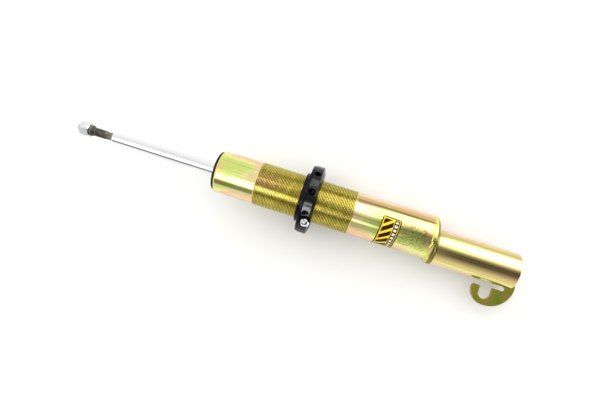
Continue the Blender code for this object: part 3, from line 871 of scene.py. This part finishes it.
def adjuster_ring():
    profile = [(RING_HIGH, RING_R), (RING_CONE, RING_R), (RING_CONE + 2.7 * MM, RING_BACK_R),
               (RING_LOW, RING_BACK_R - 1.0 * MM), (RING_LOW, RING_BORE_R), (RING_HIGH, RING_BORE_R)]
    ring = turned("clamp_ring", profile, 0.5 * MM, 240)
    lift, chamfer = 3 * MM, 0.3 * MM
    depth = [(0, HOLE_R + lift + chamfer), (lift, HOLE_R + chamfer), (lift + 0.5 * MM, HOLE_R),
             (lift + HOLE_DEPTH, HOLE_R), (lift + HOLE_DEPTH + 2 * MM, 0.2 * MM)]
    for turn in FIRST_HOLE + 360 / HOLES * np.arange(HOLES):
        if abs(turn - SLIT_TURN) > SOLID_TURN:
            start = Vector(around(turn, RING_R + lift, HOLE_X))
            take(ring, spindle("hole", depth, start, Vector(around(turn, 0, HOLE_X)) - start))
    middle, along = pinch_line()
    pocket = [(0, POCKET_R), (THROUGH, POCKET_R)]
    take(ring, spindle("pocket", pocket, middle + along * (PINCH_SEAT - GAP), along, 64))
    bore = [(-THROUGH, PINCH_SHANK_R + GAP), (THROUGH, PINCH_SHANK_R + GAP)]
    take(ring, spindle("bore", bore, middle, along))
    ends = around(SLIT_TURN, np.array([26, 52]) * MM, HOLE_X).astype(np.float32)
    half = np.array([(-12 * MM, -1), (12 * MM, -1), (12 * MM, 1), (-12 * MM, 1)])
    corner = half[:, :1] * np.array([1, 0, 0]) + half[:, 1:] * SLIT_WIDTH / 2 * np.array(along)
    take(ring, skin("slit", ends[:, None] + corner[None]))
    ring.data.shade_smooth()
    ring.data.set_sharp_from_angle(angle=np.radians(28))
    return ring


clamp_ring = adjuster_ring()
clamp_ring.data.materials.clear()
coat(clamp_ring, anodised)
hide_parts("adjuster_ring")
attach(clamp_ring, "adjuster_ring")

# %% [markdown]
# The pinch screw is a socket head cap screw. Its rows are circles, except for two that take the hexagon's
# shape in the socket, and the last row narrows the well almost to a point, as a drill leaves it.

# %% Pinch screw


def pinch_screw():
    """A socket head cap screw: round head, chamfered rim, and a hexagonal well in the middle."""
    middle, along = pinch_line()
    cols, seat, top = 96, PINCH_SEAT, PINCH_SEAT + PINCH_HEAD
    profile = [(-PINCH_END, PINCH_SHANK_R - 0.8 * MM), (-PINCH_END + 0.8 * MM, PINCH_SHANK_R),
               (seat, PINCH_SHANK_R), (seat, PINCH_HEAD_R - 0.4 * MM), (seat + 0.4 * MM, PINCH_HEAD_R),
               (top - 0.9 * MM, PINCH_HEAD_R), (top - 0.3 * MM, PINCH_HEAD_R - 0.3 * MM),
               (top, PINCH_HEAD_R - 0.9 * MM), (top, 4.1 * MM), (top - 0.5 * MM, 3.0 * MM),
               (top - 4.0 * MM, 3.0 * MM), (top - 5.2 * MM, 0.3 * MM)]
    shape = np.ones((len(profile), cols))
    shape[-3:-1] = hexagon_r(cols, 2.0)
    return spindle("pinch_screw", profile, middle, along, cols, shape, sharp=30)


cap_screw = coat(pinch_screw(), bright_zinc)
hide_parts("clamp_screw")
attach(cap_screw, "clamp_screw")

# %% [markdown]
# The label is a printed film wrapped round the body, a little crooked, as labels are. Its grid runs from
# the middle out to a rounded rectangle, and its own UV map holds millimetres, so that the print can be
# laid out in real sizes: a dark border, a yellow field with dark diagonal bars, and a strip of pale dashes.

# %% Label
LABEL_HIGH, LABEL_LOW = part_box("label")[0].x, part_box("label")[1].x
LABEL_TURNS = (-19.0, 98.0)
LABEL_R = BODY_R + 0.12 * MM
LABEL_LEAN = np.radians(-2.5)
LABEL_CORNER, LABEL_BORDER = 3.0, 1.5
LABEL_HALF = ((LABEL_LOW - LABEL_HIGH) / 2 / MM,
              np.radians(LABEL_TURNS[1] - LABEL_TURNS[0]) * BODY_R / 2 / MM)


def rounded_rectangle(half_x, half_y, corner, count=160):
    """Where rays from the middle meet a rectangle with round corners, in millimetres.

    A point is outside where its distance past the corner centres is more than the corner radius, and
    halving the reach of each ray finds the edge.
    """
    turn = np.arange(count) / count * 2 * np.pi
    ray = np.stack([np.cos(turn), np.sin(turn)], 1)
    reach = np.min(np.array([half_x, half_y]) / np.maximum(np.abs(ray), 1e-9), axis=1)
    low, high = np.zeros(count), reach
    for _ in range(30):
        mid = (low + high) / 2
        past = np.maximum(np.abs(ray * mid[:, None]) - [half_x - corner, half_y - corner], 0)
        outside = np.linalg.norm(past, axis=1) > corner
        low, high = np.where(outside, low, mid), np.where(outside, mid, high)
    return ray * low[:, None]


def label_film():
    edge = rounded_rectangle(*LABEL_HALF, LABEL_CORNER)
    share = np.append(0.002, np.linspace(0.0, 1.0, 20)[1:])
    flat = edge[None] * share[:, None, None]
    middle_x = (LABEL_HIGH + LABEL_LOW) / 2
    cos, sin = np.cos(LABEL_LEAN), np.sin(LABEL_LEAN)
    along = flat[..., 0] * cos + flat[..., 1] * sin
    round_ = flat[..., 1] * cos - flat[..., 0] * sin
    turn = sum(LABEL_TURNS) / 2 + np.degrees(round_ * MM / BODY_R)
    under, top = [around(turn, radius, middle_x + along * MM) for radius in (LABEL_R - 0.10 * MM, LABEL_R)]
    grid = np.concatenate([under, top[::-1]])
    made = skin("body_label", grid)
    shown = np.concatenate([flat, flat[::-1]]).reshape(-1, 2)
    shown = np.vstack([shown, [0, 0], [0, 0]])
    corner = np.empty(len(made.data.loops), np.int32)
    made.data.loops.foreach_get("vertex_index", corner)
    made.data.uv_layers.new(name="print").data.foreach_set("uv", shown[corner].ravel())
    return made


def label_build(finish):
    u, v, _ = finish.split(finish.node("UVMap", {"uv_map": "print"}))
    half_u, half_v = LABEL_HALF

    def block(centre_u, half_w, half_h):
        return ((u - centre_u).abs() < half_w) * (v.abs() < half_h)

    def bars(across, period, share):
        """1 on the bars of a pattern that repeats across a direction."""
        return (across / period - (across / period).floor()) < share

    inside = block(0, half_u - LABEL_BORDER, half_v - LABEL_BORDER)
    big = block(-3.2, 6.6, half_v - 3.2) * bars(u * 0.8 + v, 11.0, 0.62)
    strip = block(7.2, 3.1, half_v - 2.4)
    dashes = block(7.2, 1.7, half_v - 4.0) * bars(v, 5.4, 0.62)
    wear = finish.noise(300.0, 3.0)
    dark, field = (0.010, 0.009, 0.008), (0.80, 0.52, 0.02)
    colour = finish.mix(inside, dark, field)
    colour = finish.mix(big, colour, dark)
    colour = finish.mix(strip, colour, dark)
    colour = finish.mix(dashes * strip, colour, (0.72, 0.70, 0.60))
    return finish.grained(colour, wear, 0.3, 0.12, 1e-5)


body_label = coat(label_film(), metal("label_print", label_build, 0.0, **{"Specular IOR Level": 0.1}))
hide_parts("label")
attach(body_label, "housing")

# %% [markdown]
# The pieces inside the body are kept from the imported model. They can't be seen until the strut is taken
# apart, and each still has the finish of its own metal or rubber.

# %% Inner pieces
INNER = {
    "ground_steel": (1.0, (0.38, 0.38, 0.39), (0.52, 0.52, 0.53), 0.3, 400.0, 1e-5,
                     "cylinder_tube rebound_stop compression_shims rebound_shims piston_nut "
                     "base_valve_disc base_valve_spring base_valve_nut base_valve_bolt"),
    "sintered_iron": (0.8, (0.16, 0.16, 0.165), (0.30, 0.30, 0.31), 0.55, 900.0, 4e-5,
                      "rod_guide piston base_valve_body"),
    "seal_rubber": (0.0, (0.012,) * 3, (0.03,) * 3, 0.6, 700.0, 3e-5,
                    "oil_seal guide_o_ring rebound_bumper"),
    "bush_bronze": (1.0, (0.40, 0.28, 0.13), (0.55, 0.40, 0.20), 0.35, 500.0, 2e-5, "guide_bush"),
    "band_plastic": (0.0, (0.04, 0.07, 0.06), (0.09, 0.14, 0.12), 0.45, 600.0, 1e-5, "piston_band"),
}
for finish_name, (metallic, dark, light, gloss, scale, height, members) in INNER.items():
    look = metal(finish_name, even(dark, light, gloss, 0.2, height, scale, 3.0), metallic)
    for member in members.split():
        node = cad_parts[member]
        node.data.materials.clear()
        coat(node, look)

# %% [markdown]
# The strut rests on the ring's rim and on the end of the clamp tube, so the table is a plane through
# those two contacts. It is plain pale paper.

# %% Table
table_slope = (RING_R - TUBE_R) / -HOLE_X
TABLE_HALF = 4.0
TABLE_DROP = 0.2 * MM  # keeps the table just clear of what stands on it
print("table slope", round(table_slope, 4))


def table():
    side = np.linspace(-TABLE_HALF, TABLE_HALF, 9)
    x, y = np.meshgrid(side, side, indexing="ij")
    grid = np.stack([x, y, -TUBE_R + table_slope * x - TABLE_DROP], -1)
    return mesh_object("table", grid, quads(9, 9, False, False)[:, ::-1].tolist())


paper = coat(table(), metal("paper", lambda finish: {"Base Color": (0.72, 0.72, 0.70, 1.0),
                                                     "Roughness": 0.9}, 0.0))

# %% [markdown]
# The light is a studio of large soft panels. A long polished tube shows it as stripes along its length, so
# each panel is laid out by the angle round the strut's axis, from +Z towards -Y. STRIPES holds five sets of
# (angle, level) stops, from the rod to the clamp tube, and FROM says over which X of the light's direction
# a set takes over from the one before it. Only what shines sees them: the rest is lit by a soft dome,
# brightest on the +Y side.

# %% Studio light
PEAK = 9.0  # a ramp holds levels up to 1, so levels are divided by this and the strength puts it back
FAR_END = 1.12  # one even level, seen in faces that look past the rod's tip
DOME = 2.35
STRIPES = {
    "rod": ((-180, 1.1), (-90, 1.1), (-50, 1.0), (-22, 0.88), (-10, 0.86), (-7, 1.5), (44, 1.6),
            (50, 0.22), (72, 0.22), (80, 1.0), (180, 1.1)),
    "body_top": ((-180, 0.9), (-90, 0.95), (-30, 0.95), (-14, 1.15), (4, 1.0), (8, 1.0), (14, 2.2), (20, 6.0),
                 (31, 6.0), (40, 2.0), (48, 0.28), (70, 0.26), (80, 0.95), (180, 0.9)),
    "thread": ((-180, 0.95), (-91, 0.95), (-88, 0.5), (-66, 0.62), (-58, 2.9), (-20, 2.7), (-11, 1.1),
               (2, 0.6), (14, 0.5), (26, 0.55), (31, 1.9), (37, 1.9), (43, 0.46), (62, 0.48), (80, 0.85),
               (180, 1.0)),
    "body_low": ((-180, 1.0), (-124, 0.9), (-110, 0.6), (-102, 0.3), (-80, 0.28), (-71, 1.6), (-64, 3.4),
                 (-40, 3.2), (-26, 1.2), (-16, 0.8), (-6, 0.3), (4, 0.26), (26, 0.32), (44, 0.45),
                 (62, 0.75), (86, 0.95), (180, 0.95)),
    "clamp": ((-180, 0.95), (-134, 0.95), (-116, 0.36), (-92, 0.34), (-80, 1.8), (-68, 4.4), (-36, 4.2),
              (-20, 1.2), (-8, 0.42), (4, 0.1), (28, 0.11), (50, 0.5), (70, 0.9), (180, 0.95)),
}
FROM = {"body_top": (-0.30, -0.24), "thread": (-0.12, -0.02), "body_low": (0.08, 0.15),
        "clamp": (0.22, 0.29)}


def studio():
    """Stripes of light for what shines, and a soft dome, brightest on the +Y side, for the rest."""
    world = bpy.data.worlds.new("studio")
    bpy.context.scene.world = world
    world.use_nodes = True
    finish = Finish(world.node_tree)
    x, y, z = finish.split(finish.node("TexCoord", out="Generated"))
    lit = {name: round_ramp(finish, y, z, [(at, level / PEAK) for at, level in stops])
           for name, stops in STRIPES.items()}
    light = lit["rod"]
    for name, (start, end) in FROM.items():
        light = finish.mix(x.step(start, end), light, lit[name])
    light = finish.mix(x.step(-0.54, -0.50), (FAR_END / PEAK,) * 3, light)
    panels = finish.node("Background", None, {"Color": light, "Strength": PEAK})
    slope = (y * 0.85 - x * 0.25 + z * 0.55).max(0.0)
    level = finish.ramp(slope, [(0.0, 0.45), (0.35, 0.6), (1.0, 1.0)])
    dome = finish.node("Background", None, {"Color": level, "Strength": DOME})
    shiny = finish.node("LightPath", out="Is Glossy Ray")
    both = finish.node("MixShader", None, {0: shiny, 1: dome, 2: panels})
    finish.node("OutputWorld", None, {"Surface": both})
    print("studio", len(STRIPES), "rows of stripes,", len(finish.tree.nodes), "nodes")


studio()

# %% [markdown]
# The camera looks almost square on to the strut from about 0.6 m, through a wide lens. The strut's lower
# end is tilted a few degrees towards it and the picture is rolled so that the strut runs downhill.

# %% Camera
LENS_MM, SENSOR_MM = 25.8, 36.0
TILT, ROLL = np.radians(4.5), np.radians(17.6)
AIM = Vector((-295.2 * MM, AXIS_Y, 0))
DISTANCE = 584.4 * MM
OFF_CENTRE = (0.0011628, -0.0081395)  # where AIM falls, as tangents to the right and down

right = Vector((np.cos(TILT) * np.cos(ROLL), np.sin(ROLL), -np.sin(TILT) * np.cos(ROLL)))
down = Vector((np.cos(TILT) * np.sin(ROLL), -np.cos(ROLL), -np.sin(TILT) * np.sin(ROLL)))
ahead = Vector((-np.sin(TILT), 0, -np.cos(TILT)))
eye = AIM - DISTANCE * (ahead + right * OFF_CENTRE[0] + down * OFF_CENTRE[1])

lens = bpy.data.cameras.new("camera")
lens.sensor_width, lens.lens = SENSOR_MM, LENS_MM
camera = bpy.data.objects.new("camera", lens)
bpy.context.scene.collection.objects.link(camera)
camera.matrix_world = Matrix.Translation(eye) @ Matrix((right, -down, -ahead)).transposed().to_4x4()
bpy.context.scene.camera = camera
bpy.context.scene.view_settings.view_transform = "Standard"
print("camera", tuple(round(v, 3) for v in eye), "lens", LENS_MM, "mm")
